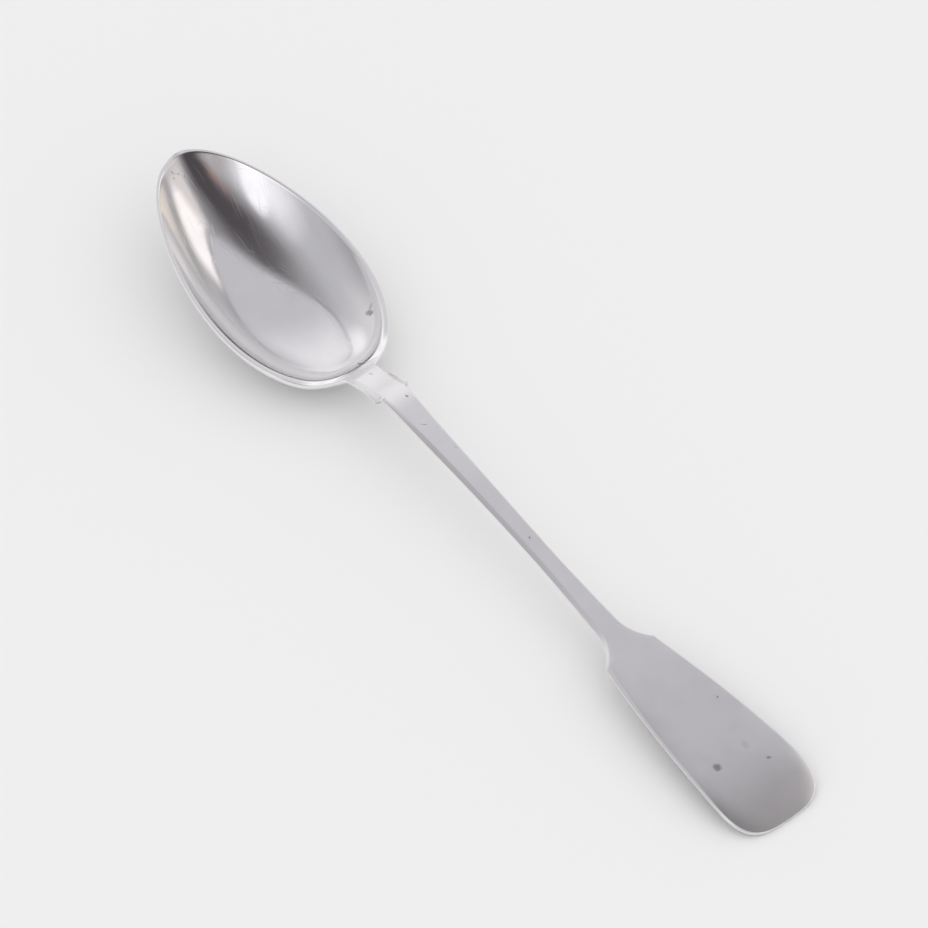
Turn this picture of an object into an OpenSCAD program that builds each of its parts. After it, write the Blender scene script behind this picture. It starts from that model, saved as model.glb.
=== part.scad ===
// Dessert spoon in silver, forged and filed from one piece: an egg-shaped bowl with a flat rim,
// a short neck with two small lugs, a slim arched stem and a fiddle-shaped end.
// Stations along the spoon are measured in millimetres from the tip of the bowl.

/* [Overall] */
// Length from the tip of the bowl to the end of the handle
length = 178; // [165:1:195]

/* [Bowl] */
// Length of the bowl's outline, from its tip to where it would close at the heel
bowl_length = 58.3; // [54:0.5:62]
// Width of the bowl across the rim, half way along
bowl_width = 33.7; // [30:0.2:38]
// How much fuller the bowl is towards the heel than towards the tip
bowl_egg = 0.165; // [0:0.005:0.22]
// Depth of the hollow below the rim at its deepest
bowl_depth = 7.6; // [6:0.1:11]
// Steepness of the hollow's wall at the tip; 50 is a shallow dish and 80 a full one
tip_fullness = 58; // [45:1:70]
// Steepness of the hollow's wall at the heel
heel_fullness = 76; // [50:1:80]
// Thickness of the metal in the bottom of the bowl
bowl_wall = 1.2; // [0.8:0.1:1.8]
// Width of the flat rim
rim_width = 0.75; // [0.5:0.05:1.5]
// Height of the rim's outer edge
rim_edge = 0.9; // [0.6:0.1:1.2]
// Width of the lip left between the hollow and the heel
heel_lip = 1.5; // [1:0.1:3]
// How far the tip is worn away, a little to one side of its middle
tip_wear = 0.4; // [0:0.05:0.8]

/* [Drop on the back of the bowl] */
// Length of the drop under the bowl, from the heel
drop_length = 13; // [8:0.5:18]
// Width of the drop
drop_width = 9; // [7:0.5:12]
// How far the drop stands out of the bowl's back
drop_height = 0.7; // [0.4:0.1:1.2]

/* [Neck and lugs] */
// Length of the neck, from the bowl's heel to the points of the lugs
neck_length = 8.9; // [7:0.1:12]
// Width of the neck
neck_width = 7; // [6:0.1:8]
// Width across the points of the lugs
lug_width = 7.6; // [6.8:0.1:9]
// Length over which the neck spreads out to the lugs
lug_spread = 9; // [5:0.5:9]
// Width of the sloping side at the lugs, which starts from nothing at the heel
lug_chamfer = 1.4; // [1:0.1:2.4]
// Height of that slope at the lugs
lug_drop = 0.95; // [0.6:0.05:1.4]
// Height of the upright edge below that slope
lug_edge = 0.5; // [0.2:0.05:0.8]

/* [Stem] */
// Width of the stem just past the lugs
stem_width = 5.9; // [4.8:0.1:6.6]
// Width of the stem at its narrowest
waist_width = 4.25; // [3.4:0.05:4.8]
// Distance of the narrowest place from the shoulders
waist_from_shoulders = 25.3; // [15:0.1:35]
// Width of the stem where it starts to open into the shoulders
throat_width = 5.2; // [4.4:0.1:6]
// Thickness of the stem at the lugs
stem_thickness = 2.4; // [1.8:0.1:3.2]
// Thickness of the stem at the shoulders
shoulder_thickness = 1.9; // [1.4:0.1:2.6]
// Width of the sloping sides of the stem
stem_chamfer = 0.7; // [0.3:0.05:1]
// Height of the sloping sides of the stem
stem_drop = 0.9; // [0.4:0.05:1.2]
// Height of the narrow upright edge below the slopes of the stem
stem_edge = 0.25; // [0.1:0.05:0.5]

/* [Fiddle end] */
// Length of the fiddle, from its shoulders to the end of the handle
fiddle_length = 41.7; // [36:0.1:48]
// Width across the shoulders
shoulder_width = 12; // [10:0.2:13]
// Radius of the hollow curve that runs into each shoulder
shoulder_radius = 9.5; // [8.5:0.5:12]
// Width that the fiddle's sides would reach at the very end
end_width = 20.5; // [17:0.2:24]
// How early the sides curve outwards; 1 is a straight side
side_curve = 1.85; // [1:0.1:2.5]
// Length of the rounded corners at the end
corner_length = 11.8; // [8:0.2:16]
// Squareness of the end; 2 is an ellipse
corner_squareness = 3.4; // [2:0.1:4.5]
// Thickness of the metal at the end
end_thickness = 1.1; // [0.8:0.1:1.8]
// Width of the filed edge round the fiddle
edge_chamfer = 0.3; // [0.1:0.05:0.45]
// Height of the fiddle's upright side
fiddle_edge = 0.7; // [0.4:0.05:1]
// How far the top face is worn down along its edges
worn_edge = 0.35; // [0:0.05:0.5]
// Sideways set of the end, from long use, in degrees
sideways_set = 3.4; // [-6:0.2:6]
// Distance from the shoulders to the middle of the sideways set
set_from_shoulders = 2.7; // [0:0.1:10]

/* [Side view] */
// Fall of the rim from the tip towards the heel, per millimetre
rim_fall = 0.175; // [0.08:0.005:0.22]
// Distance of the upward bend before the bowl's heel
heel_bend_before = 2.6; // [1:0.1:4]
// Change of slope in the bend at the heel
heel_bend = 0.77; // [0.5:0.01:0.9]
// Length of the bend at the heel, to each side of its place
heel_bend_reach = 3.6; // [3:0.2:7]
// Distance of the neck's downward bend before the lugs
crest_bend_before = 1.8; // [-1:0.1:3]
// Change of slope in the bend over the neck
crest_bend = 0.64; // [0.45:0.01:0.8]
// Length of the bend over the neck, to each side of its place
crest_bend_reach = 7.4; // [4:0.2:10]
// Distance from the lugs to the middle of the stem's gentle arch
arch_from_lugs = 25; // [20:1:45]
// Change of slope in the stem's arch
arch_bend = 0.05; // [0:0.01:0.12]
// Length of the stem's arch, to each side of its place
arch_bend_reach = 19; // [10:1:24]
// Distance of the bend that turns the end down, before the end
end_bend_before = 8.2; // [6:0.2:16]
// Change of slope in the end's bend
end_bend = 0.26; // [0:0.01:0.35]
// Length of the end's bend, to each side of its place
end_bend_reach = 8; // [4:0.5:12]

/* [Hidden] */

// How finely the surface is divided: steps along each stretch and across each face
bowl_steps = 38;
neck_steps = 12;
stem_steps = 16;
throat_steps = 9;
fiddle_steps = 9;
corner_steps = 15;
top_steps = 9;
back_steps = 8;
// First and last directions at which the bowl's outline is sampled, in degrees round its egg
first_direction = 2;
last_direction = 167;
// Direction at which the handle's end stops, in degrees round its corner
end_direction = 88.5;
// How closely the points across the top crowd towards its edges; 1 is evenly
crowding = 1.25;

// Distance past a lug's point at which the stem already has its own width
lug_step = 0.25;
// How late the neck spreads to its lugs and the stem to its ends; 1 is a straight taper
lug_curve = 1.5;
stem_curve = 1.6;
// Reach of the sideways set to each side of its place
set_reach = 9;
// Width of the filed edge on the rim, and how steep the filed edges of rim and fiddle are
rim_chamfer = 0.15;
filed_steepness = 0.8;
// Length over which the lugs' wide sloping side fades out along the stem
chamfer_fade = 14;
// Length past the shoulders over which the stem's sloping sides fade out
shoulder_run = 16;
// Greatest share of the half width that a sloping side takes
chamfer_limit = 0.6;
// Length over which the rim's edge turns into the side of the neck, centred on the heel
heel_run = 5;
// Length over which the neck's belly fades out under the bowl, and its rounding against the bowl
belly_run = 9;
heel_blend = 1.2;
// Where along the bowl its wall starts to steepen, and over how much of it, as shares of its length
steepen_start = 0.15;
steepen_span = 0.75;
// How far from the middle line the tip is worn most, how wide the worn place is to each side of
// that, and how far along the bowl it fades out
tip_wear_aside = 2.6;
tip_wear_spread = 5;
tip_wear_reach = 6;
// Power of the worn edge, where a higher one keeps it closer to the edge, and how it starts
worn_power = 7;
worn_start = 4;
worn_run = 20;
// Share of the drop's outline over which it rises to its full height
drop_round = 0.3;
// Least width of the hollow's flat middle, as a share of the top, where the hollow has closed
least_inner = 0.3;
// Share of the hollow's width that the points across the top reach, just inside the rim's edge
across_reach = 0.98;

// How far the lugs stand out from the stem, and what the stem keeps of their sloping side
lug_overhang = (lug_width - stem_width) / 2;
past_lug_chamfer = lug_chamfer - lug_overhang;
past_lug_drop = lug_drop * past_lug_chamfer / lug_chamfer;
// Places along the spoon, from the tip of the bowl
heel_place = bowl_length - heel_lip;
lug_place = bowl_length + neck_length;
shoulder_place = length - fiddle_length;
waist_place = shoulder_place - waist_from_shoulders;
corner_place = length - corner_length;
heel_bend_place = bowl_length - heel_bend_before;
crest_bend_place = lug_place - crest_bend_before;
arch_bend_place = lug_place + arch_from_lugs;
end_bend_place = length - end_bend_before;
set_place = shoulder_place + set_from_shoulders;
// Length and width of the hollow's own outline, inside the rim
hollow_length = heel_place - rim_width;
hollow_width = bowl_width - 2 * rim_width;
// Stretch over which the hollow curve runs from the stem to a shoulder
shoulder_rise = (shoulder_width - throat_width) / 2;
throat_length = sqrt(pow(shoulder_radius, 2) - pow(shoulder_radius - shoulder_rise, 2));
throat_place = shoulder_place - throat_length;

// Number kept between 0 and 1
function part(t) = min(max(t, 0), 1);

// Softened ramp from 0 to 1 while t goes from 0 to 1
function ramp(t) = let (c = part(t)) c * c * (3 - 2 * c);

// Straight line that bends once, at a place: 0 before it, rising 1 in 1 after it, and smooth between
function bend(s, place, reach) =
    let (t = part((s - place + reach) / (2 * reach)))
    s > place + reach ? s - place : 2 * reach * (pow(t, 3) - pow(t, 4) / 2);

// Half width of an egg of a given length and width at a station measured from its narrow end
function egg_half(t, long, wide) =
    let (c = 1 - 2 * part(t / long))
    wide / 2 * sqrt(max(1 - c * c, 0)) * (1 - bowl_egg * c);

function bowl_half(s) = egg_half(s, bowl_length, bowl_width);
function hollow_half(s) = egg_half(s - rim_width, hollow_length, hollow_width);

// Half width of the neck, which spreads out to the lugs
function neck_half(s) = neck_width / 2
    + (lug_width - neck_width) / 2 * pow(part((s - lug_place + lug_spread) / lug_spread), lug_curve);

// Half width of the stem, which narrows to its waist and widens again to the throat
function stem_half(s) = waist_width / 2
    + (stem_width - waist_width) / 2
        * pow(part((waist_place - s) / (waist_place - lug_place)), stem_curve)
    + (throat_width - waist_width) / 2
        * pow(part((s - waist_place) / (throat_place - waist_place)), stem_curve);

// Half width of the throat: a round hollow curve from the stem to the shoulder's corner
function throat_half(s) = throat_width / 2
    + shoulder_radius - sqrt(pow(shoulder_radius, 2) - pow(s - throat_place, 2));

// Half width of the fiddle's sides, before its corners are rounded
function side_half(s) = let (t = part((s - shoulder_place) / fiddle_length))
    shoulder_width / 2 + (end_width - shoulder_width) / 2 * (1 - pow(1 - t, side_curve));

// How far a station lies into the rounded corners, from 0 to 1
function corner_part(s) = part((s - corner_place) / corner_length);

function fiddle_half(s) = side_half(s)
    * pow(1 - pow(corner_part(s), corner_squareness), 1 / corner_squareness);

// Half width of the whole outline at a station
function half_width(s) = s < bowl_length / 2 ? bowl_half(s)
    : s <= lug_place ? max(bowl_half(s), neck_half(s))
    : s <= throat_place ? stem_half(s)
    : s <= shoulder_place ? throat_half(s)
    : fiddle_half(s);

// Height of the top line, from the rim's tip over the neck and down to the end
function top_line(s) = -rim_fall * s
    + heel_bend * bend(s, heel_bend_place, heel_bend_reach)
    - crest_bend * bend(s, crest_bend_place, crest_bend_reach)
    - arch_bend * bend(s, arch_bend_place, arch_bend_reach)
    - end_bend * bend(s, end_bend_place, end_bend_reach);

// Sideways place of the middle line
function middle_line(s) = tan(sideways_set) * bend(s, set_place, set_reach);

// Thickness of the metal on the middle line, clear of the bowl
function thickness(s) = stem_thickness
    - (stem_thickness - shoulder_thickness) * ramp((s - lug_place) / (shoulder_place - lug_place))
    - (shoulder_thickness - end_thickness) * part((s - shoulder_place) / fiddle_length);

// Value that changes from the rim to the lugs, along the stem and onto the fiddle
function along(s, on_rim, at_lugs, on_stem, on_fiddle) =
    let (neck = ramp((s - bowl_length) / heel_run + 0.5),
        lugs = part((s - bowl_length) / neck_length) * (1 - ramp((s - lug_place) / chamfer_fade)),
        fiddle = ramp((s - throat_place) / (throat_length + shoulder_run)))
    on_rim * (1 - neck) + neck * (at_lugs * lugs
        + (on_stem + (on_fiddle - on_stem) * fiddle) * (1 - lugs));

// Width and height of the sloping side between the top face and the upright side
function chamfer(s) = along(s, rim_chamfer, s > lug_place ? past_lug_chamfer : lug_chamfer,
    stem_chamfer, edge_chamfer);
function chamfer_drop(s) = along(s, rim_chamfer * filed_steepness,
    s > lug_place ? past_lug_drop : lug_drop, stem_drop, edge_chamfer * filed_steepness);

// Depth of the lower edge of the upright side
function side_depth(s) = chamfer_drop(s)
    + along(s, rim_edge - rim_chamfer * filed_steepness, lug_edge, stem_edge, fiddle_edge);

// Depth of a round dish as a share of its full depth, where q is 1 in the middle and 0 on its edge
function dish(q, angle) = let (c = cos(angle), n = sin(angle))
    (sqrt(c * c + max(q, 0) * n * n) - c) / (1 - c);

// Share of the dish at a place, for an outline with a given half width and greatest half width
function dish_part(half, widest, y) = (half * half - y * y) / (widest * widest);

// Fullness of the bowl at a station, which grows from the tip to the heel
function fullness(s) = tip_fullness
    + (heel_fullness - tip_fullness) * ramp((s / bowl_length - steepen_start) / steepen_span);

// How far the top is worn down at a place: not at all in the middle, and fully on the edge
function worn(s, y, half) = s < lug_place ? 0
    : s < shoulder_place ? pow(abs(y) / half, worn_power) * ramp((s - lug_place - worn_start) / worn_run)
    : pow(pow(abs(y) / side_half(s), corner_squareness) + pow(corner_part(s), corner_squareness),
        worn_power / corner_squareness);

// How far a place is set back from the tip, where the tip is worn
function tip_worn(s, y) = tip_wear * (1 - part(s / tip_wear_reach))
    * ramp(1 - abs(y + tip_wear_aside) / tip_wear_spread);

// Height of the top face at a place across the spoon
function top_height(s, y, half) = top_line(s) - worn_edge * worn(s, y, half)
    - (s < heel_place
        ? bowl_depth * dish(dish_part(hollow_half(s), hollow_width / 2, y), fullness(s)) : 0);

// Greater of two depths, rounded over k where they cross
function smooth_max(a, b, k) = max(a, b) + (k > 0 ? pow(max(k - abs(a - b), 0), 2) / (4 * k) : 0);

// How far the drop stands out at a place: a tongue that runs from the neck onto the bowl's back
function drop(s, y, half) =
    let (reach = sqrt(pow(max(bowl_length - s, 0) / drop_length, 2) + pow(2 * y / drop_width, 2)))
    drop_height * ramp((1 - reach) / drop_round) * (1 - pow(y / half, 4))
        * (1 - ramp((s - bowl_length) / heel_run * 2));

// Height of the back at a place across the spoon: the bowl's back, its drop and the neck in one sweep
function back_height(s, y, half) =
    let (side = side_depth(s),
        bowl = (bowl_depth + bowl_wall - rim_edge)
            * dish(dish_part(bowl_half(s), bowl_width / 2, y), fullness(s)),
        belly = (thickness(s) - side) * ramp((s - bowl_length) / belly_run + 1)
            * max(1 - pow(y / (s < lug_place ? neck_half(s) : half), 2), 0))
    top_line(s) - side - drop(s, y, half) - smooth_max(bowl, belly, min(bowl, heel_blend));

// One closed section of the spoon, from the right-hand edge over the top to the left and back below
function section(s) =
    let (half = half_width(s),
        crown = half - min(chamfer(s), half * chamfer_limit),
        inner = min(max(s < heel_place ? hollow_half(s) : crown, least_inner * crown), crown),
        shift = middle_line(s),
        right = [[half, top_line(s) - side_depth(s)],
            [half, top_height(s, crown, half) - chamfer_drop(s)],
            [crown, top_height(s, crown, half)]],
        left = [for (k = [2 : -1 : 0]) [-right[k][0], right[k][1]]],
        across = [for (k = [0 : 2 * top_steps])
            let (t = 1 - k / top_steps, y = across_reach * inner * sign(t) * (1 - pow(1 - abs(t), crowding)))
            [y, top_height(s, y, half)]],
        back = [for (k = [1 : 2 * back_steps - 1]) let (y = half * (k / back_steps - 1))
            [y, back_height(s, y, half)]])
    [for (p = concat(right, across, left, back)) [s + tip_worn(s, p[0]), p[0] + shift, p[1]]];

// Stations of the sections, close together where the outline turns quickly
function between(from, to, steps) = [for (k = [1 : steps]) from + (to - from) * k / steps];
bowl_stations = [for (k = [0 : bowl_steps])
    bowl_length * (1 - cos(first_direction + (last_direction - first_direction) * k / bowl_steps)) / 2];
neck_stations = between(bowl_stations[bowl_steps], lug_place, neck_steps);
stem_stations = between(lug_place + lug_step, throat_place, stem_steps);
throat_stations = [for (k = [1 : throat_steps])
    throat_place + throat_length * sin(90 * k / throat_steps)];
fiddle_stations = between(shoulder_place, corner_place, fiddle_steps);
corner_stations = [for (k = [1 : corner_steps])
    corner_place + corner_length * pow(sin(end_direction * k / corner_steps), 2 / corner_squareness)];
stations = concat(bowl_stations, neck_stations, [lug_place + lug_step], stem_stations,
    throat_stations, fiddle_stations, corner_stations);

// The spoon rests on the back of its bowl and on the edge of its end. The table is the line
// through the end's edge that just touches the bowl's back.
last_station = stations[len(stations) - 1];
end_bottom = back_height(last_station, 0, half_width(last_station));
rest_slope = max([for (s = bowl_stations)
    (end_bottom - back_height(s, 0, half_width(s))) / (last_station - s)]);
function table(s) = end_bottom + rest_slope * (s - last_station);

module spoon() {
    rings = [for (s = stations) [for (p = section(s))
        [p[0] - length / 2, p[1], p[2] - table(p[0])]]];
    count = len(rings[0]);
    points = [for (ring = rings) each ring];
    walls = [for (i = [0 : len(rings) - 2], j = [0 : count - 1])
        let (a = i * count + j, b = i * count + (j + 1) % count, c = a + count, d = b + count)
        each [[a, c, b], [b, c, d]]];
    tip = [for (j = [0 : count - 1]) j];
    end = [for (j = [count - 1 : -1 : 0]) (len(rings) - 1) * count + j];
    color([0.79, 0.78, 0.79]) polyhedron(points = points, faces = concat([tip], walls, [end]));
}

spoon();
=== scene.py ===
import math

import bpy
import numpy as np
from mathutils import Matrix, Vector


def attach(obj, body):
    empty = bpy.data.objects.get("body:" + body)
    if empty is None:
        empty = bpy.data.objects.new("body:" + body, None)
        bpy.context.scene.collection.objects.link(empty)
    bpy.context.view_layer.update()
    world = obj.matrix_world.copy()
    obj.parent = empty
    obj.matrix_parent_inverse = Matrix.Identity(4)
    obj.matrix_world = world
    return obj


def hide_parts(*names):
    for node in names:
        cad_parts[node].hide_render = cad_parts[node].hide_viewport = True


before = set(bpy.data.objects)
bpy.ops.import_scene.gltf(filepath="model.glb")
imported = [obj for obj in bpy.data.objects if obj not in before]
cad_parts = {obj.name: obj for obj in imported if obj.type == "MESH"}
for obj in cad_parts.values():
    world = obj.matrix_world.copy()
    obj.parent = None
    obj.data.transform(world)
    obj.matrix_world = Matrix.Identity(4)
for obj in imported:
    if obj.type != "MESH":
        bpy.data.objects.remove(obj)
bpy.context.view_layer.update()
print("spoon: frame loaded")

mm = 0.001


# Silver spoon. Sizes in millimetres; a station is the distance from the bowl's tip.
spoonSize = {
    "length": 178.0,
    "bowlLength": 58.3,
    "bowlWidth": 33.7,
    "bowlEgg": 0.165,  # fuller towards the heel
    "bowlDepth": 7.6,
    "tipFullness": 58.0,  # steepness of the hollow's wall at the tip, degrees
    "heelFullness": 76.0,
    "fullnessRun": (0.15, 0.75),  # start and length of the change between them, as shares of the bowl
    "bowlWall": 1.2,
    "rimWidth": 0.75,
    "rimEdge": 0.9,
    "heelLip": 1.5,
    "tipWear": (0.4, -2.6, 5.0, 6.0),  # depth, place across, spread, fades out along
    "heelFillet": 3.2,  # where the neck leaves the bowl's outline
    "dropLength": 13.0,
    "dropWidth": 9.0,
    "dropHeight": 0.7,
    "dropEdge": 0.3,  # width of its soft edge, as a share of its reach
    "dropFade": 2.5,  # it fades out onto the neck over this length
    "bellyFade": 9.0,  # the neck's round back fades out onto the bowl over this length
    "backBlend": 1.2,
    "neckLength": 8.9,
    "neckWidth": 7.0,
    "neckBlend": 5.0,  # the rim's edge turns into the neck's over this length
    "lugWidth": 7.6,
    "lugSpread": 9.0,
    "lugCurve": 1.5,
    "lugSlope": (1.4, 0.95),  # width and height of the sloping side at the lugs
    "lugEdge": 0.5,
    "lugFade": 14.0,  # their slope fades out onto the stem over this length
    "stemWidth": 5.9,
    "stemSlope": (0.7, 0.9),
    "stemEdge": 0.25,  # height of the upright edge below the slopes
    "waistWidth": 4.25,
    "waistFromShoulders": 25.3,
    "waistCurve": 1.6,
    "throatWidth": 5.2,
    "stemThickness": 2.4,
    "shoulderThickness": 1.9,
    "fiddleSlope": (0.3, 0.24),
    "fiddleEdge": 0.7,
    "fiddleBlend": 16.0,  # the stem's edge has turned into the fiddle's this far past the shoulders
    "rimSlope": (0.15, 0.12),
    "fiddleLength": 41.7,
    "shoulderWidth": 12.0,
    "shoulderRadius": 9.5,
    "endWidth": 20.5,
    "sideCurve": 1.85,
    "cornerLength": 11.8,
    "cornerSquareness": 3.4,
    "endThickness": 1.1,
    "wornEdge": 0.35,
    "wornSharpness": 7,  # how close to the edge the wear stays
    "wornStem": (4.0, 20.0),  # where it begins past the lugs, and its run
    "sidewaysSet": 3.4,  # degrees, from long use
    "setFromShoulders": 2.7,
    "setReach": 9.0,
    "rimFall": 0.175,
    "heelBend": (-3.2, 0.7, 3.4),  # place from the heel, change of slope, reach
    "crestBend": (-1.35, -0.57, 7.2),  # from the lugs
    "archBend": (25.0, -0.05, 19.0),  # from the lugs
    "endBend": (-8.2, -0.26, 8.0),  # from the end
    "hollowEdge": 0.012,  # softness of the rim's inner edge, as a share of the dish
    # radius of the corners on the rim, the neck, the stem and the fiddle
    "cornerRound": (0.35, 0.75, 0.3, 0.2),
    # where they change, from the bowl's end, the lugs and the throat, and the run of each change
    "roundChange": ((-1.0, 3.0), (0.0, 12.0), (0.0, 8.0)),
}


# How finely the spoon's surface is divided.
spoonGrid = {
    # points of a section: across the top, over half the rim, round its upper corner, round the other two
    # corners, and across the back
    "top": 71,
    "rim": 5,
    "corner": 7,
    "edge": 4,
    "back": 57,
    # sections
    "bowlRings": 192,
    "neckRings": 60,
    "stemRings": 90,
    "throatRings": 34,
    "fiddleRings": 50,
    "cornerRings": 70,
    "bowlTurn": (0.4, 167),  # degrees round the bowl's outline, from its tip almost to the neck
    "cornerTurn": 88.5,  # degrees round the end's corners
    "lugSteps": (0.02, 0.08, 0.16, 0.25),  # past a lug's point
    "slopeMost": 0.6,  # widest sloping side, as a share of half the section
    "innerLine": (0.3, 0.98),  # least and greatest place of the rim's inner line, as shares of its outer line
    "backReach": 0.985,  # how far the back's points reach, as a share of half the section
    "cornerMost": 0.45,  # largest share of a side that a rounded corner takes
}


def kept(t):
    # number kept between 0 and 1
    return np.clip(t, 0, 1)


def ramp(t):
    # soft step from 0 to 1
    c = kept(t)
    return c * c * (3 - 2 * c)


def bend(s, place, reach):
    # a line that bends once: 0 before the place, rising 1 in 1 after it, a smooth quartic between
    t = kept((s - place + reach) / (2 * reach))
    return np.where(s > place + reach, s - place, 2 * reach * (t**3 - t**4 / 2))


def eggSquare(t, long, wide, egg):
    # square of an egg's half width at a distance from its narrow end, negative outside the egg
    limit = 1.4  # far enough outside it
    c = np.clip(1 - 2 * t / long, -limit, limit)
    return wide**2 / 4 * (1 - c * c) * (1 - egg * c) ** 2


def dish(q, angle):
    # depth of a round dish as a share of its full depth: q is 1 in the middle and 0 on its edge
    c, n = np.cos(np.radians(angle)), np.sin(np.radians(angle))
    return (np.sqrt(c * c + np.maximum(q, 0) * n * n) - c) / (1 - c)


class SpoonForm:
    # The spoon as formulas of the station s and the place y across it, in millimetres.
    def __init__(self, size):
        self.z = size
        z = size
        self.heelPlace = z["bowlLength"] - z["heelLip"]
        self.lugPlace = z["bowlLength"] + z["neckLength"]
        self.shoulderPlace = z["length"] - z["fiddleLength"]
        self.waistPlace = self.shoulderPlace - z["waistFromShoulders"]
        self.cornerPlace = z["length"] - z["cornerLength"]
        rise = (z["shoulderWidth"] - z["throatWidth"]) / 2
        self.throatLength = math.sqrt(z["shoulderRadius"] ** 2 - (z["shoulderRadius"] - rise) ** 2)
        self.throatPlace = self.shoulderPlace - self.throatLength

    def bowlSquare(self, s):
        # square of half the bowl's width: an egg with its narrow end at the tip
        return eggSquare(s, self.z["bowlLength"], self.z["bowlWidth"], self.z["bowlEgg"])

    def hollowSquare(self, s):
        # the same for the rim's inner edge, a smaller egg
        z = self.z
        return eggSquare(s - z["rimWidth"], self.heelPlace - z["rimWidth"],
                         z["bowlWidth"] - 2 * z["rimWidth"], z["bowlEgg"])

    def neckHalf(self, s):
        # as wide as the neck, then wider to the lugs by a power of the distance
        z = self.z
        spread = kept((s - self.lugPlace + z["lugSpread"]) / z["lugSpread"])
        return z["neckWidth"] / 2 + (z["lugWidth"] - z["neckWidth"]) / 2 * spread ** z["lugCurve"]

    def stemHalf(self, s):
        # narrowest at the waist, wider to both ends by a power of the distance
        z = self.z
        before = kept((self.waistPlace - s) / (self.waistPlace - self.lugPlace)) ** z["waistCurve"]
        after = kept((s - self.waistPlace) / (self.throatPlace - self.waistPlace)) ** z["waistCurve"]
        return (z["waistWidth"] + (z["stemWidth"] - z["waistWidth"]) * before
                + (z["throatWidth"] - z["waistWidth"]) * after) / 2

    def throatHalf(self, s):
        # arc of a circle that begins along the stem and ends at the shoulders
        z = self.z
        t = np.clip(s - self.throatPlace, 0, self.throatLength)
        return z["throatWidth"] / 2 + z["shoulderRadius"] - np.sqrt(z["shoulderRadius"] ** 2 - t * t)

    def sideHalf(self, s):
        # side of the fiddle, which spreads less and less: 1 - (1 - t)^curve
        z = self.z
        t = kept((s - self.shoulderPlace) / z["fiddleLength"])
        spread = 1 - (1 - t) ** z["sideCurve"]
        return (z["shoulderWidth"] + (z["endWidth"] - z["shoulderWidth"]) * spread) / 2

    def cornerPart(self, s):
        # 0 where the end's corners begin, 1 at the end
        return kept((s - self.cornerPlace) / self.z["cornerLength"])

    def fiddleHalf(self, s):
        # the side's width times a quarter of a superellipse, which rounds the corners
        n = self.z["cornerSquareness"]
        return self.sideHalf(s) * (1 - self.cornerPart(s) ** n) ** (1 / n)

    def halfWidth(self, s):
        # outline: bowl, neck to the lugs, stem, throat, fiddle
        bowl = np.sqrt(np.maximum(self.bowlSquare(s), 0))
        neck, fillet = self.neckHalf(s), self.z["heelFillet"]
        heel = np.maximum(bowl, neck) + np.maximum(fillet - np.abs(bowl - neck), 0) ** 2 / (4 * fillet)
        places = [self.z["bowlLength"] / 2, self.lugPlace, self.throatPlace, self.shoulderPlace]
        return np.select([s <= place for place in places],
                         [bowl, heel, self.stemHalf(s), self.throatHalf(s)], self.fiddleHalf(s))

    def topLine(self, s):
        # side view of the top: a falling rim, then the bends at heel, crest, arch and end
        z = self.z
        starts = {"heelBend": z["bowlLength"], "crestBend": self.lugPlace,
                  "archBend": self.lugPlace, "endBend": z["length"]}
        line = -z["rimFall"] * s
        for name, start in starts.items():
            place, turn, reach = z[name]
            line = line + turn * bend(s, start + place, reach)
        return line

    def middleLine(self, s):
        # middle of the handle, bent to one side past the shoulders
        place = self.shoulderPlace + self.z["setFromShoulders"]
        return math.tan(math.radians(self.z["sidewaysSet"])) * bend(s, place, self.z["setReach"])

    def thickness(self, s):
        # thickness in the middle: a soft step along the stem, then evenly thinner to the end
        z = self.z
        stem = ramp((s - self.lugPlace) / (self.shoulderPlace - self.lugPlace))
        fiddle = kept((s - self.shoulderPlace) / z["fiddleLength"])
        return (z["stemThickness"] - (z["stemThickness"] - z["shoulderThickness"]) * stem
                - (z["shoulderThickness"] - z["endThickness"]) * fiddle)

    def along(self, s, onRim, atLugs, onStem, onFiddle):
        # value that changes from the rim to the lugs, along the stem and onto the fiddle
        z = self.z
        neck = ramp((s - z["bowlLength"]) / z["neckBlend"] + 0.5)
        lugs = kept((s - z["bowlLength"]) / z["neckLength"]) * (1 - ramp((s - self.lugPlace) / z["lugFade"]))
        fiddle = ramp((s - self.throatPlace) / (self.throatLength + z["fiddleBlend"]))
        handle = onStem + (onFiddle - onStem) * fiddle
        return onRim * (1 - neck) + neck * (atLugs * lugs + handle * (1 - lugs))

    def slope(self, s, part):
        # width (part 0) or height (part 1) of the sloping side; past the lugs the stem keeps a share of it
        z = self.z
        keptShare = 1 - (z["lugWidth"] - z["stemWidth"]) / 2 / z["lugSlope"][0]
        atLugs = z["lugSlope"][part] * np.where(s > self.lugPlace, keptShare, 1)
        return self.along(s, z["rimSlope"][part], atLugs, z["stemSlope"][part], z["fiddleSlope"][part])

    def sideDepth(self, s):
        # depth of the side below the top: its slope and the upright edge under it
        z = self.z
        belowRim = z["rimEdge"] - z["rimSlope"][1]
        return self.slope(s, 1) + self.along(s, belowRim, z["lugEdge"], z["stemEdge"], z["fiddleEdge"])

    def fullness(self, s):
        # steepness of the bowl's wall, a soft step from tip to heel
        z = self.z
        start, run = z["fullnessRun"]
        change = ramp((s / z["bowlLength"] - start) / run)
        return z["tipFullness"] + (z["heelFullness"] - z["tipFullness"]) * change

    def worn(self, s, y, half):
        # the top face is worn down along the edges of stem and fiddle
        n, sharpness = self.z["cornerSquareness"], self.z["wornSharpness"]
        start, run = self.z["wornStem"]
        stem = (np.abs(y) / half) ** sharpness * ramp((s - self.lugPlace - start) / run)
        fiddle = ((np.abs(y) / self.sideHalf(s)) ** n + self.cornerPart(s) ** n) ** (sharpness / n)
        return np.select([s < self.lugPlace, s < self.shoulderPlace], [0 * fiddle, stem], fiddle)

    def top(self, s, y, half):
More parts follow.
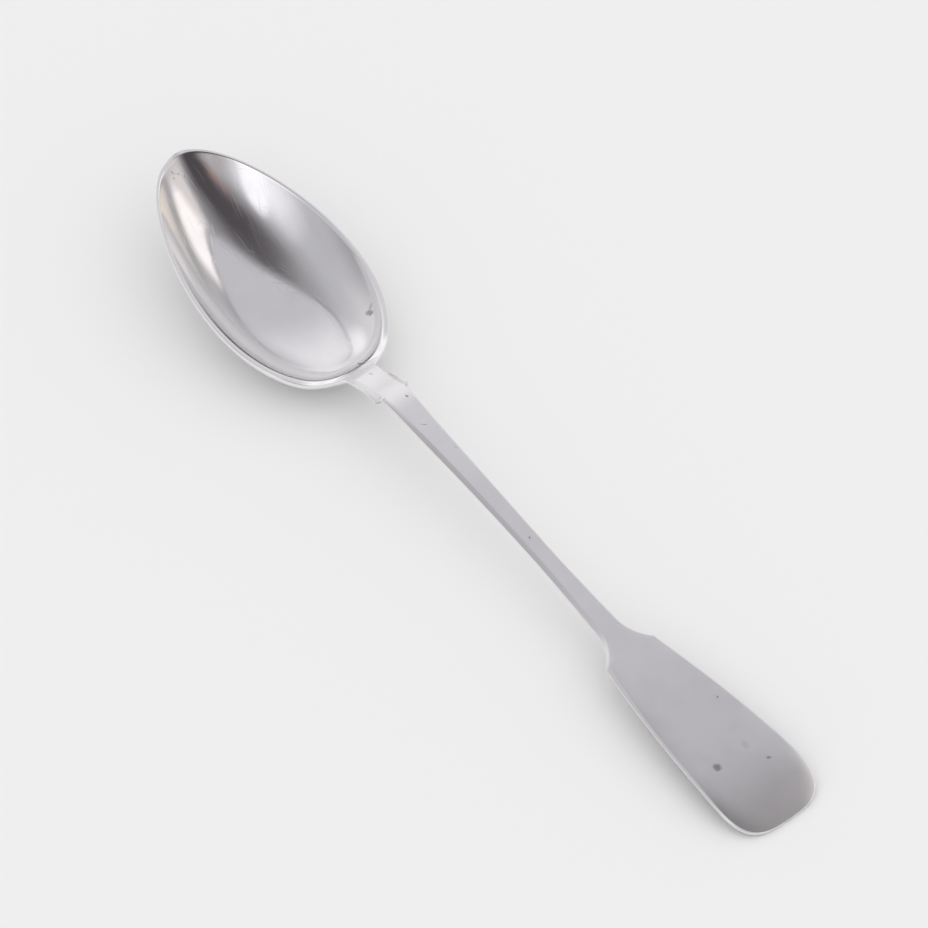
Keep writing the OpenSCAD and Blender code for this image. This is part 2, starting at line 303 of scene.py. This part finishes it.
        # side view, less the worn edges, less a dish whose edge is softened
        z = self.z
        w = z["bowlWidth"] / 2 - z["rimWidth"]
        q = (self.hollowSquare(s) - y * y) / (w * w)
        q = (q + np.sqrt(q * q + z["hollowEdge"] ** 2)) / 2
        return (self.topLine(s) - z["wornEdge"] * self.worn(s, y, half)
                - z["bowlDepth"] * dish(q, self.fullness(s)))

    def drop(self, s, y, half):
        # the tongue that runs from the neck onto the bowl's back
        z = self.z
        reach = np.hypot(np.maximum(z["bowlLength"] - s, 0) / z["dropLength"], 2 * y / z["dropWidth"])
        return (z["dropHeight"] * ramp((1 - reach) / z["dropEdge"]) * (1 - (y / half) ** 4)
                * (1 - ramp((s - z["bowlLength"]) / z["dropFade"])))

    def back(self, s, y, half):
        # the bowl's dish and the round belly of neck and stem, joined by a soft maximum, below the sides
        z = self.z
        w = z["bowlWidth"] / 2
        side = self.sideDepth(s)
        bowl = ((z["bowlDepth"] + z["bowlWall"] - z["rimEdge"])
                * dish((self.bowlSquare(s) - y * y) / (w * w), self.fullness(s)))
        across = np.where(s < self.lugPlace, self.neckHalf(s), half)
        belly = ((self.thickness(s) - side) * ramp((s - z["bowlLength"]) / z["bellyFade"] + 1)
                 * np.maximum(1 - (y / across) ** 2, 0))
        k = np.maximum(np.minimum(bowl, z["backBlend"]), 1e-6)
        both = np.maximum(bowl, belly) + np.maximum(k - np.abs(bowl - belly), 0) ** 2 / (4 * k)
        return self.topLine(s) - side - self.drop(s, y, half) - both


def roundCorner(before, corner, after, radius, steps):
    # quadratic curve that cuts a corner of the section, for all sections at once
    def towards(other):
        # point on the side towards another corner, at the radius or less
        away = other - corner
        far = np.maximum(np.linalg.norm(away, axis=-1, keepdims=True), 1e-9)
        return corner + away * np.minimum(radius[:, None] / far, spoonGrid["cornerMost"])
    a, b = towards(before)[:, None], towards(after)[:, None]
    t = np.linspace(0, 1, steps)[None, :, None]
    return (1 - t) ** 2 * a + 2 * t * (1 - t) * corner[:, None] + t * t * b


def spoonStations(form):
    # close together where the outline turns quickly
    z, grid = form.z, spoonGrid
    bowlTurn = np.radians(np.linspace(*grid["bowlTurn"], grid["bowlRings"]))
    bowl = z["bowlLength"] * (1 - np.cos(bowlTurn)) / 2
    neck = np.linspace(bowl[-1], form.lugPlace, grid["neckRings"])[1:]
    lug = form.lugPlace + np.array(grid["lugSteps"])
    stem = np.linspace(lug[-1], form.throatPlace, grid["stemRings"])[1:]
    throatTurn = np.radians(np.linspace(0, 90, grid["throatRings"]))[1:]
    throat = form.throatPlace + form.throatLength * np.sin(throatTurn)
    fiddle = np.linspace(form.shoulderPlace, form.cornerPlace, grid["fiddleRings"])[1:]
    cornerTurn = np.radians(np.linspace(0, grid["cornerTurn"], grid["cornerRings"]))[1:]
    corner = form.cornerPlace + z["cornerLength"] * np.sin(cornerTurn) ** (2 / z["cornerSquareness"])
    return np.concatenate([bowl, neck, lug, stem, throat, fiddle, corner])


def spoonRings(form):
    # one closed section for each station: across the top, round the left edge, along the back, and up
    s = spoonStations(form)
    half = form.halfWidth(s)
    # past a lug's point the outline steps in to the stem within the few sections there
    stepLength = spoonGrid["lugSteps"][-1]
    step = kept((s - form.lugPlace) / stepLength)
    lugs = form.neckHalf(form.lugPlace) * (1 - step) + form.stemHalf(s) * step
    half = np.where((s > form.lugPlace) & (s < form.lugPlace + stepLength), lugs, half)
    crown = half - np.minimum(form.slope(s, 0), half * spoonGrid["slopeMost"])
    hollow = np.sqrt(np.maximum(form.hollowSquare(s), 0))
    least, greatest = spoonGrid["innerLine"]
    inner = np.maximum(np.where(s < form.heelPlace, hollow, crown), least * crown)
    inner = np.minimum(inner, crown) * greatest
    reach = spoonGrid["backReach"]
    col = s[:, None]

    def onTop(y):
        return np.stack([y, form.top(col, y, half[:, None])], -1)

    def onBack(y):
        return np.stack([y, form.back(col, y, half[:, None])], -1)

    u = np.sin(np.pi / 2 * np.linspace(-1, 1, spoonGrid["top"]))[None, :]
    across = onTop(inner[:, None] * u)
    rimSteps = np.linspace(0, 1, spoonGrid["rim"] + 2)[None, 1:-1]
    rim = onTop(inner[:, None] + (crown - inner)[:, None] * rimSteps)
    crownPoint = onTop(crown[:, None])[:, 0]
    topEdge = np.stack([half, crownPoint[:, 1] - form.slope(s, 1)], -1)
    lowEdge = np.stack([half, form.topLine(s) - form.sideDepth(s)], -1)
    backFirst = onBack(reach * half[:, None])[:, 0]
    rounds = form.z["cornerRound"]
    radius = rounds[0]
    places = form.z["bowlLength"], form.lugPlace, form.throatPlace
    for place, (start, run), before, after in zip(places, form.z["roundChange"], rounds, rounds[1:]):
        radius = radius + (after - before) * ramp((s - place - start) / run)
    right = np.concatenate([
        rim,
        roundCorner(rim[:, -1], crownPoint, topEdge, radius, spoonGrid["corner"]),
        roundCorner(crownPoint, topEdge, lowEdge, radius, spoonGrid["edge"]),
        roundCorner(topEdge, lowEdge, backFirst, radius, spoonGrid["edge"]),
    ], 1)
    v = np.sin(np.pi / 2 * np.linspace(-1, 1, spoonGrid["back"]))[None, :] * reach
    back = onBack(half[:, None] * v)[:, ::-1]
    left = right[:, ::-1] * np.array([-1, 1])
    ring = np.concatenate([across, right, back, left], 1)
    depth, place, spread, run = form.z["tipWear"]
    worn = depth * (1 - kept(col / run)) * ramp(1 - np.abs(ring[..., 0] - place) / spread)
    x = col + worn
    y = ring[..., 0] + form.middleLine(s)[:, None]
    return np.stack([x - form.z["length"] / 2, y, ring[..., 1]], -1)


# Where the silver is painted lighter, a painted highlight along the rim and the edges and on the end's left
# corner, in millimetres.
highlightPlaces = {
    "pastBowl": (0.45, 3.0),  # share that the edges lose past the bowl, and the run of the change
    "cornerStart": (165.0, 3.0),  # the end's left corner, along and across
    "cornerRun": (6.0, 4.0),
}


def paintedEdgeHighlight(form, rings):
    # share of the painted highlight: 1 on the rim, less on the sides of neck, stem and fiddle, and 0
    # elsewhere
    s = rings[..., 0] + form.z["length"] / 2
    column = np.arange(rings.shape[1])[None, :]
    top, back = spoonGrid["top"], spoonGrid["back"]
    sideColumns = (rings.shape[1] - top - back) // 2
    side = ((column >= top) & (column < top + sideColumns)) | (column >= top + sideColumns + back)
    loss, run = highlightPlaces["pastBowl"]
    side = side * (1 - loss * ramp((s - form.z["bowlLength"]) / run))
    # the end's left corner gets the painted highlight on its top face too
    y = rings[..., 1] - form.middleLine(s)
    (fromStation, fromMiddle), (runAlong, runAcross) = highlightPlaces["cornerStart"], highlightPlaces["cornerRun"]
    corner = (form.worn(s, y, form.halfWidth(s)) ** 2
              * ramp((s - fromStation) / runAlong) * ramp((y - fromMiddle) / runAcross))
    return np.maximum(side, corner * (column < top + sideColumns))


def meshFromRings(name, rings, highlightShare):
    # closed tube: quads between neighbouring rings, one flat face at each end
    rows, count = rings.shape[:2]
    i, j = np.meshgrid(np.arange(rows - 1), np.arange(count), indexing="ij")
    a = i * count + j
    b = i * count + (j + 1) % count
    quads = np.stack([a, a + count, b + count, b], -1).reshape(-1, 4)
    caps = [list(range(count)), list(range((rows - 1) * count, rows * count))[::-1]]
    mesh = bpy.data.meshes.new(name)
    mesh.from_pydata(rings.reshape(-1, 3).tolist(), [], quads.tolist() + caps)
    mesh.attributes.new("highlightShare", "FLOAT", "POINT").data.foreach_set("value", highlightShare.ravel())
    mesh.validate()
    mesh.shade_smooth()
    piece = bpy.data.objects.new(name, mesh)
    bpy.context.scene.collection.objects.link(piece)
    return piece


form = SpoonForm(spoonSize)
rings = spoonRings(form)
# lay it on the table: the line under the end's edge that touches the bowl's back
x, low = rings[..., 0].max(1), rings[..., 2].min(1)
inBowl = x < -form.z["length"] / 2 + form.z["bowlLength"]
fall = ((low[-1] - low[inBowl]) / (x[-1] - x[inBowl])).max()
table = (low[-1] - fall * x[-1], fall)
rings[..., 2] -= table[0] + table[1] * rings[..., 0]


def topPoint(s, y):
    # place on the top face in millimetres
    s = np.array([float(s)])
    x = s - form.z["length"] / 2
    z = form.top(s, np.array([y]), form.halfWidth(s)) - table[0] - table[1] * x
    return (float(x[0]), float(y + form.middleLine(s)[0]), float(z[0]))


spoon = meshFromRings("silverSpoon", rings * mm, paintedEdgeHighlight(form, rings))
print("spoon: surface made,", len(spoon.data.polygons), "faces")


# Worn silver: mirror-bright in the bowl and satin on the handle, with hairlines, a slight ripple, a few pits,
# a little tarnish, a painted shade on the neck's right slope and a painted highlight along the edges. Sizes,
# heights and places in millimetres.
silverLook = {
    "colour": (0.79, 0.78, 0.79),
    "hazeColour": (0.755, 0.745, 0.755),
    "hazePatches": (0.11, 5.0, 0.36, 0.7),  # scale and detail of the noise, and the range that it fades over
    "handledColour": (0.64, 0.63, 0.645),
    # painted highlight: a lighter colour on the rim, the edges and the end's left corner
    "handledShare": (0.4, 0.75),  # share of that colour: more where it is hazy, and everywhere
    "paintedHighlightColour": (0.93, 0.92, 0.93),
    # colour of the tarnish, and of the painted shade on the neck's right slope
    "tarnishAndShade": (0.4, 0.36, 0.34),
    "tarnishAndShadePatches": (0.35, 4.0, 0.35, 0.7),
    "stain": (0.2, 0.18, 0.17),
    "roughness": (0.075, 0.14),  # clean and hazy
    "handledRoughness": 0.26,  # added along the stem, because the handle is held and laid down most
    "endRoughness": 0.05,  # added over the last two centimetres
    "scratchRoughness": 0.13,
    "stainRoughness": 0.3,
    # X in metres, where each change along the spoon begins and ends
    "handledRun": (0.02, 0.075),
    "satinRun": (0.012, 0.044),
    "brightRun": (0.03, 0.0),  # hairlines and the haze's roughness stay on the bowl's side of it
    "endRun": (0.068, 0.086),
    "rippleSize": 9.0,  # from crest to crest
    "rippleHeight": 0.006,
    "grainScale": 1.3,
    "grainHeight": 0.0005,
    "scratchHeight": 0.0055,
    "pitDepth": 0.06,
    "wobble": (1.6, 0.5),  # scale of the noise that makes the marks' outlines unsteady, and its size
    "markReach": 1.0,  # above and below a mark's place on the top face
    "tarnishAndShadeReach": 2.0,
    # distance at which a hairline or a mark begins to fade, and at which it has gone, in its own size
    "hairlineEdge": (0.02, 0.13),
    "markEdge": (0.45, 1.25),
    # turn in degrees, distance between hairlines along and across them, strength
    "scratches": [
        (4, 26, 0.55, 1.0),
        (-9, 34, 0.6, 0.9),
        (19, 22, 0.6, 0.8),
        (-27, 19, 0.7, 0.7),
        (48, 15, 0.8, 0.6),
        (-66, 13, 0.9, 0.5),
    ],
    # station, place across, half length, half width, turn, strength
    "marks": [
        (2.8, -2.6, 0.2, 0.13, 20, 0.5),
        (3.5, -1.6, 0.14, 0.12, 0, 0.5),
        (4.3, -0.7, 0.26, 0.1, -40, 0.4),
        (3.9, -2.9, 0.11, 0.1, 0, 0.6),
        (3.3, -2.2, 0.9, 0.05, 62, 0.25),
        (46.5, 11.6, 0.95, 0.6, 30, 0.62),
        (45.9, 12.3, 1.1, 0.4, 116, 0.3),
        (54.5, 2.8, 0.42, 0.3, 0, 0.8),
        (60.5, 0.5, 0.6, 0.25, 15, 0.25),
        (70.2, 1.15, 0.3, 0.24, 0, 0.75),
        (77.1, -0.35, 0.8, 0.1, 50, 0.4),
        (84.5, 1.3, 0.5, 0.1, 25, 0.3),
        (107.6, -0.1, 0.24, 0.2, 0, 0.7),
        (152.8, 5.85, 0.24, 0.2, 0, 0.7),
        (163.1, 2.9, 1.0, 0.7, 0, 0.14),
        (163.8, -4.35, 0.9, 0.75, 40, 0.65),
        (167.5, 4.55, 0.5, 0.32, 60, 0.55),
    ],
    # the same for the tarnish at the heel, the tip and behind the lugs, and for a painted shade on the neck's
    # right slope (the third)
    "tarnishAndShadeSpots": [
        (57.2, 0, 0.45, 3.8, 0, 0.5),
        (1.2, 3.5, 3.0, 5.0, 0, 0.2),
        # painted shade: darkens the neck's right slope
        (64.2, 3.0, 4.2, 1.0, 0, 0.9),
        (69.0, -3.9, 1.4, 1.0, 0, 0.4),
        (69.0, 3.9, 1.4, 1.0, 0, 0.4),
    ],
}


def nodeTree(owner):
    owner.use_nodes = True
    tree = owner.node_tree
    tree.nodes.clear()
    return tree


def addNode(tree, kind, **values):
    node = tree.nodes.new(kind)
    for name, value in values.items():
        setattr(node, name, value)
    return node


def feed(tree, value, socket):
    # links what another node puts out, or sets a fixed value
    if isinstance(value, bpy.types.NodeSocket):
        tree.links.new(value, socket)
    else:
        socket.default_value = value


def placeGroup(tree, group, values):
    # one use of a node group, with a value for each input
    node = addNode(tree, "ShaderNodeGroup", node_tree=group)
    for name, value in values.items():
        feed(tree, value, node.inputs[name])
    return node.outputs[0]


def calc(tree, operation, *values):
    node = addNode(tree, "ShaderNodeMath", operation=operation)
    for socket, value in zip(node.inputs, values):
        feed(tree, value, socket)
    return node.outputs[0]


def softRange(tree, value, low, high):
    # soft step from 0 at low to 1 at high
    node = addNode(tree, "ShaderNodeMapRange", interpolation_type="SMOOTHSTEP")
    for name, number in (("Value", value), ("From Min", low), ("From Max", high)):
        feed(tree, number, node.inputs[name])
    return node.outputs["Result"]


def noise(tree, point, scale, detail=2.0):
    node = addNode(tree, "ShaderNodeTexNoise")
    tree.links.new(point, node.inputs["Vector"])
    node.inputs["Scale"].default_value = scale
    node.inputs["Detail"].default_value = detail
    return node


def patches(tree, point, scale, detail, low, high):
    return softRange(tree, noise(tree, point, scale, detail).outputs["Fac"], low, high)


def newGroup(name, inputs, output, kind):
    group = bpy.data.node_groups.new(name, "ShaderNodeTree")
    for label, socket in inputs:
        group.interface.new_socket(name=label, in_out="INPUT", socket_type="NodeSocket" + socket)
    group.interface.new_socket(name=output, in_out="OUTPUT", socket_type="NodeSocket" + kind)
    return group, group.nodes.new("NodeGroupInput"), group.nodes.new("NodeGroupOutput")


def scratchGroup():
    # short straight hairlines: scattered dots, drawn out along the scratches, each with its own strength
    group, given, result = newGroup("fineScratches", [
        ("Point", "Vector"), ("Turn", "Vector"), ("Size", "Vector")], "Lines", "Float")
    link = group.links.new
    turned = addNode(group, "ShaderNodeMapping", vector_type="TEXTURE")
    for name, socket in {"Point": "Vector", "Turn": "Rotation", "Size": "Scale"}.items():
        link(given.outputs[name], turned.inputs[socket])
    cells = addNode(group, "ShaderNodeTexVoronoi", voronoi_dimensions="2D", feature="F1")
    link(turned.outputs[0], cells.inputs["Vector"])
    cells.inputs["Scale"].default_value = 1.0
    away = softRange(group, cells.outputs["Distance"], *silverLook["hairlineEdge"])
    thin = calc(group, "SUBTRACT", 1, away)
    link(calc(group, "MULTIPLY", thin, cells.outputs["Color"]), result.inputs["Lines"])
    return group


def markGroup():
    # one soft-edged oval spot added to the spots before it
    group, given, result = newGroup("surfaceMark", [
        ("Before", "Float"), ("Point", "Vector"), ("Centre", "Vector"), ("Turn", "Vector"),
        ("Size", "Vector"), ("Strength", "Float")], "Mark", "Float")
    link = group.links.new
    placed = addNode(group, "ShaderNodeMapping", vector_type="TEXTURE")
    sockets = {"Point": "Vector", "Centre": "Location", "Turn": "Rotation", "Size": "Scale"}
    for name, socket in sockets.items():
        link(given.outputs[name], placed.inputs[socket])
    away = addNode(group, "ShaderNodeVectorMath", operation="LENGTH")
    link(placed.outputs[0], away.inputs[0])
    spot = calc(group, "SUBTRACT", 1, softRange(group, away.outputs["Value"], *silverLook["markEdge"]))
    spot = calc(group, "MULTIPLY", spot, given.outputs["Strength"])
    link(calc(group, "MAXIMUM", given.outputs["Before"], spot), result.inputs["Mark"])
    return group


def spotsOf(tree, group, point, spots, deep):
    # chain of marks on the spoon's top face
    before = 0.0
    for s, y, long, wide, turn, strength in spots:
        before = placeGroup(tree, group, {
            "Before": before,
            "Point": point,
            "Centre": topPoint(s, y),
            "Turn": (0, 0, math.radians(turn)),
            "Size": (long, wide, deep),
            "Strength": strength,
        })
    return before


def mixColour(tree, amount, first, second):
    node = addNode(tree, "ShaderNodeMix", data_type="RGBA", clamp_factor=True)
    tree.links.new(amount, node.inputs["Factor"])
    for name, colour in (("A", first), ("B", second)):
        feed(tree, colour + (1,) if isinstance(colour, tuple) else colour, node.inputs[name])
    return node.outputs["Result"]


def silverMaterial():
    look = silverLook
    material = bpy.data.materials.new("wornSilver")
    tree = nodeTree(material)
    link = tree.links.new
    shader = addNode(tree, "ShaderNodeBsdfPrincipled")
    out = addNode(tree, "ShaderNodeOutputMaterial")
    link(shader.outputs["BSDF"], out.inputs["Surface"])
    shader.inputs["Metallic"].default_value = 1.0

    # object coordinates in millimetres, and for the marks the same a little unsteady, so that none has a
    # perfect outline
    place = addNode(tree, "ShaderNodeTexCoord")
    point = addNode(tree, "ShaderNodeVectorMath", operation="SCALE")
    link(place.outputs["Object"], point.inputs[0])
    point.inputs["Scale"].default_value = 1 / mm
    point = point.outputs[0]
    wobbleScale, wobble = look["wobble"]
    centred = addNode(tree, "ShaderNodeVectorMath", operation="SUBTRACT")
    link(point, centred.inputs[0])
    centred.inputs[1].default_value = (wobble / 2,) * 3
    unsteady = addNode(tree, "ShaderNodeVectorMath", operation="MULTIPLY_ADD")
    link(noise(tree, point, wobbleScale).outputs["Color"], unsteady.inputs[0])
    unsteady.inputs[1].default_value = (wobble,) * 3
    link(centred.outputs[0], unsteady.inputs[2])
    unsteady = unsteady.outputs[0]

    # soft steps along the spoon
    along = addNode(tree, "ShaderNodeSeparateXYZ")
    link(place.outputs["Object"], along.inputs[0])
    handled, satin, bright, endmost = (softRange(tree, along.outputs["X"], *look[name])
                                       for name in ("handledRun", "satinRun", "brightRun", "endRun"))

    scratches = scratchGroup()
    lines = 0.0
    for turn, long, apart, strength in look["scratches"]:
        layer = placeGroup(tree, scratches, {
            "Point": point, "Turn": (0, 0, math.radians(turn)), "Size": (long, apart, apart)})
        lines = calc(tree, "MAXIMUM", lines, calc(tree, "MULTIPLY", layer, strength))
    lines = calc(tree, "MULTIPLY", lines, bright)

    marks = markGroup()
    pits = spotsOf(tree, marks, unsteady, look["marks"], look["markReach"])
    # tarnish spots, and a painted shade on the neck's right slope
    tarnishAndShadeMarks = spotsOf(tree, marks, unsteady, look["tarnishAndShadeSpots"], look["tarnishAndShadeReach"])
    tarnishAndShade = calc(tree, "MULTIPLY", tarnishAndShadeMarks, patches(tree, point, *look["tarnishAndShadePatches"]))

    # haze left by handling, in soft patches
    haze = patches(tree, point, *look["hazePatches"])
    colour = mixColour(tree, haze, look["colour"], look["hazeColour"])
    dulled = calc(tree, "MULTIPLY", handled, calc(tree, "MULTIPLY_ADD", haze, *look["handledShare"]))
    colour = mixColour(tree, dulled, colour, look["handledColour"])
    # painted highlight along the rim and the edges and on the end's left corner
    edges = addNode(tree, "ShaderNodeAttribute", attribute_name="highlightShare")
    colour = mixColour(tree, edges.outputs["Fac"], colour, look["paintedHighlightColour"])
    # tarnish, and painted shade on the neck's right slope
    colour = mixColour(tree, tarnishAndShade, colour, look["tarnishAndShade"])
    colour = mixColour(tree, pits, colour, look["stain"])
    link(colour, shader.inputs["Base Color"])

    clean, hazy = look["roughness"]
    rough = calc(tree, "MULTIPLY_ADD", calc(tree, "MULTIPLY", haze, bright), hazy - clean, clean)
    rough = calc(tree, "MULTIPLY_ADD", satin, look["handledRoughness"], rough)
    rough = calc(tree, "MULTIPLY_ADD", endmost, look["endRoughness"], rough)
    rough = calc(tree, "MULTIPLY_ADD", lines, look["scratchRoughness"], rough)
    rough = calc(tree, "MULTIPLY_ADD", calc(tree, "MAXIMUM", pits, tarnishAndShade), look["stainRoughness"], rough)
    link(rough, shader.inputs["Roughness"])

    # heights in millimetres
    ripple = noise(tree, point, 1 / look["rippleSize"], 1.0).outputs["Fac"]
    grain = noise(tree, point, look["grainScale"], 1.0).outputs["Fac"]
    height = calc(tree, "MULTIPLY", ripple, look["rippleHeight"])
    height = calc(tree, "MULTIPLY_ADD", grain, look["grainHeight"], height)
    height = calc(tree, "MULTIPLY_ADD", lines, -look["scratchHeight"], height)
    height = calc(tree, "MULTIPLY_ADD", pits, -look["pitDepth"], height)
    bump = addNode(tree, "ShaderNodeBump")
    bump.inputs["Distance"].default_value = mm
    link(height, bump.inputs["Height"])
    link(bump.outputs["Normal"], shader.inputs["Normal"])
    return material


spoon.data.materials.append(silverMaterial())
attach(spoon, "root")
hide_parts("spoon")
print("spoon: silver done")


# Studio: a round sky of soft light panels, which the polished silver mirrors.
# A place on the sky is (x, y) in degrees away from straight up, towards +X and +Y.
studio = {
    "skyLevel": (0.59, 0.585, 0.605),
    "plainLevel": 0.96,
    "floorColour": (0.9, 0.9, 0.9),
    "floorHalf": 4.0,  # metres
    "secondLevel": 1.05,  # seen where one wall of the bowl mirrors the other
    "secondShare": 0.65,  # how much of the panels that level hides there
    "backdrop": 0.8,
    # place, half width, half height, turn, squareness, softness, colour; later ones lie over earlier ones
    "panels": [
        ((-82, -31), 75, 43, 106, 5, 1.0, (0.86, 0.85, 0.87)),
        ((-36, -91), 41, 27, 68, 1.6, 1.0, (0.42, 0.41, 0.43)),
        ((-16, 92), 66, 17, -24, 3.7, 0.42, (0.52, 0.5, 0.52)),
        ((0, 20), 40, 26, -45, 1.6, 1.0, (0.23, 0.22, 0.23)),
        ((25, 8), 15, 26, -65, 5, 0.58, (0.085, 0.075, 0.08)),
        ((18, 44), 14, 11, -22, 1.9, 0.36, (0.84, 0.79, 0.77)),
        ((6, 53), 10.5, 12.5, 60, 4.3, 0.45, (1.28, 1.22, 1.2)),
        ((32, 103), 24, 31, -39, 5, 0.9, (1.2, 1.08, 0.92)),
        ((6, 70), 22, 3.4, -23, 2.2, 0.7, (0.47, 0.46, 0.46)),
        ((18, -48), 9, 18, 0, 5, 1.0, (1.15, 1.13, 1.17)),
        ((23, -48), 5, 29, 7, 3, 0.2, (1.3, 1.28, 1.32)),
        ((31, -23), 16, 3, -80, 5, 0.9, (0.52, 0.47, 0.48)),
        ((26, -5), 5.5, 1.4, 10, 2, 0.6, (0.46, 0.26, 0.2)),
        ((-56, -3), 13, 10, -19, 2, 0.7, (1.16, 1.14, 1.17)),
        ((-24.5, 28.2), 33, 30.7, 71, 3.2, 0.04, (0.4, 0.39, 0.41)),
        ((-24.5, 29.2), 30.5, 28.2, 71, 3.4, 0.03, (0.655, 0.645, 0.675)),
        ((-43, 24), 15, 23, 12, 5, 0.9, (1.02, 1.0, 1.03)),
        ((-80, 36), 27, 13, 0, 2, 0.6, (1.02, 1.0, 1.03)),
    ],
}


def skyPoint(x, y):
    # direction of a place on the sky
    away = math.radians(math.hypot(x, y))
    turn = math.atan2(y, x)
    return Vector((math.sin(away) * math.cos(turn), math.sin(away) * math.sin(turn), math.cos(away)))


def panelGroup():
    # lays one soft panel over the colour of the sky: r = (|a|^n + |b|^n)^(1/n), 1 on the panel's edge
    group, given, result = newGroup("skyPanel", [
        ("Before", "Color"), ("Direction", "Vector"), ("Facing", "Vector"), ("Across", "Vector"),
        ("Along", "Vector"), ("Squareness", "Float"), ("Softness", "Float"), ("Panel", "Color"),
    ], "Sky", "Color")
    link = group.links.new
    grazing = 0.02  # a panel lies only on the half of the sky round its middle

    def dot(name):
        node = addNode(group, "ShaderNodeVectorMath", operation="DOT_PRODUCT")
        link(given.outputs["Direction"], node.inputs[0])
        link(given.outputs[name], node.inputs[1])
        return node.outputs["Value"]

    front = calc(group, "MAXIMUM", dot("Facing"), grazing)
    power = given.outputs["Squareness"]
    a, b = (calc(group, "POWER", calc(group, "ABSOLUTE", calc(group, "DIVIDE", dot(name), front)), power)
            for name in ("Across", "Along"))
    radius = calc(group, "POWER", calc(group, "ADD", a, b), calc(group, "DIVIDE", 1, power))
    soft = given.outputs["Softness"]
    edge = softRange(group, radius, calc(group, "ADD", 1, soft), calc(group, "SUBTRACT", 1, soft))
    share = calc(group, "MULTIPLY", edge, calc(group, "GREATER_THAN", dot("Facing"), grazing))
    link(mixColour(group, share, given.outputs["Before"], given.outputs["Panel"]), result.inputs["Sky"])
    return group


def makeSky():
    world = bpy.data.worlds.new("studioSky")
    bpy.context.scene.world = world
    tree = nodeTree(world)
    link = tree.links.new
    place = addNode(tree, "ShaderNodeTexCoord")
    unit = addNode(tree, "ShaderNodeVectorMath", operation="NORMALIZE")
    link(place.outputs["Generated"], unit.inputs[0])
    group = panelGroup()
    sky = studio["skyLevel"] + (1,)
    further, least = 1.001, 0.01  # a very short step outwards gives a panel its direction
    for centre, halfWidth, halfHeight, turn, square, soft, colour in studio["panels"]:
        facing = skyPoint(*centre)
        outward = skyPoint(centre[0] * further + least, centre[1] * further) - facing
        across = (outward - outward.dot(facing) * facing).normalized()
        along = facing.cross(across)
        # turn the panel so that its width lies along +X on the sky map, then by its own turn
        spin = math.radians(turn) - math.atan2(centre[1], centre[0])
        wide = math.cos(spin) * across + math.sin(spin) * along
        high = facing.cross(wide)
        sky = placeGroup(tree, group, {
            "Before": sky,
            "Direction": unit.outputs[0],
            "Facing": facing,
            "Across": wide / math.tan(math.radians(halfWidth)),
            "Along": high / math.tan(math.radians(halfHeight)),
            "Squareness": square,
            "Softness": soft,
            "Panel": colour + (1,),
        })
    # polished silver mirrors the panels; what else is lit, such as the floor, gets one plain level
    path = addNode(tree, "ShaderNodeLightPath")
    onceMirrored = 1.5  # between one mirror and two
    secondBounce = calc(tree, "GREATER_THAN", path.outputs["Glossy Depth"], onceMirrored)
    again = calc(tree, "MULTIPLY", secondBounce, studio["secondShare"])
    second, level, backdrop = ((studio[name],) * 3 for name in ("secondLevel", "plainLevel", "backdrop"))
    mirrored = addNode(tree, "ShaderNodeBackground")
    link(mixColour(tree, again, sky, second), mirrored.inputs["Color"])
    plain = addNode(tree, "ShaderNodeBackground")
    link(mixColour(tree, path.outputs["Is Camera Ray"], level, backdrop), plain.inputs["Color"])
    pick = addNode(tree, "ShaderNodeMixShader")
    link(path.outputs["Is Glossy Ray"], pick.inputs[0])
    link(plain.outputs[0], pick.inputs[1])
    link(mirrored.outputs[0], pick.inputs[2])
    out = addNode(tree, "ShaderNodeOutputWorld")
    link(pick.outputs[0], out.inputs["Surface"])


def makeFloor():
    material = bpy.data.materials.new("paleFloor")
    tree = nodeTree(material)
    shader = addNode(tree, "ShaderNodeBsdfDiffuse")
    shader.inputs["Color"].default_value = studio["floorColour"] + (1,)
    out = addNode(tree, "ShaderNodeOutputMaterial")
    tree.links.new(shader.outputs[0], out.inputs["Surface"])
    half = studio["floorHalf"]
    mesh = bpy.data.meshes.new("paleFloor")
    corners = [(-half, -half, 0), (half, -half, 0), (half, half, 0), (-half, half, 0)]
    mesh.from_pydata(corners, [], [(0, 1, 2, 3)])
    mesh.materials.append(material)
    floor = bpy.data.objects.new("paleFloor", mesh)
    bpy.context.scene.collection.objects.link(floor)


makeSky()
makeFloor()
print("spoon: studio lit")


# Camera at the photo's angle, found from the spoon's outline. Angles in degrees, distances in metres.
view = {
    "azimuth": 45.11,
    "elevation": 52.4,
    "roll": 6.92,
    "distance": 0.84265,
    "aim": (-0.00689, 0.00622, 0.0),
    "focalPixels": 4500,
    "imagePixels": 928,
    "sensorWidth": 36,  # millimetres
    "clip": (0.01, 50),
}


def placeCamera():
    a, e, r = (math.radians(view[name]) for name in ("azimuth", "elevation", "roll"))
    back = Vector((math.sin(a) * math.cos(e), -math.cos(a) * math.cos(e), math.sin(e)))
    level = Vector((math.cos(a), math.sin(a), 0))
    upright = back.cross(level)
    right = math.cos(r) * level + math.sin(r) * upright
    up = math.cos(r) * upright - math.sin(r) * level
    data = bpy.data.cameras.new("photoCamera")
    data.sensor_fit = "HORIZONTAL"
    data.sensor_width = view["sensorWidth"]
    data.lens = view["focalPixels"] / view["imagePixels"] * view["sensorWidth"]
    data.clip_start, data.clip_end = view["clip"]
    camera = bpy.data.objects.new("photoCamera", data)
    turn = Matrix((right, up, back)).transposed().to_4x4()
    camera.matrix_world = Matrix.Translation(Vector(view["aim"]) + back * view["distance"]) @ turn
    bpy.context.scene.collection.objects.link(camera)
    bpy.context.scene.camera = camera


placeCamera()
bpy.context.scene.view_settings.view_transform = "Standard"
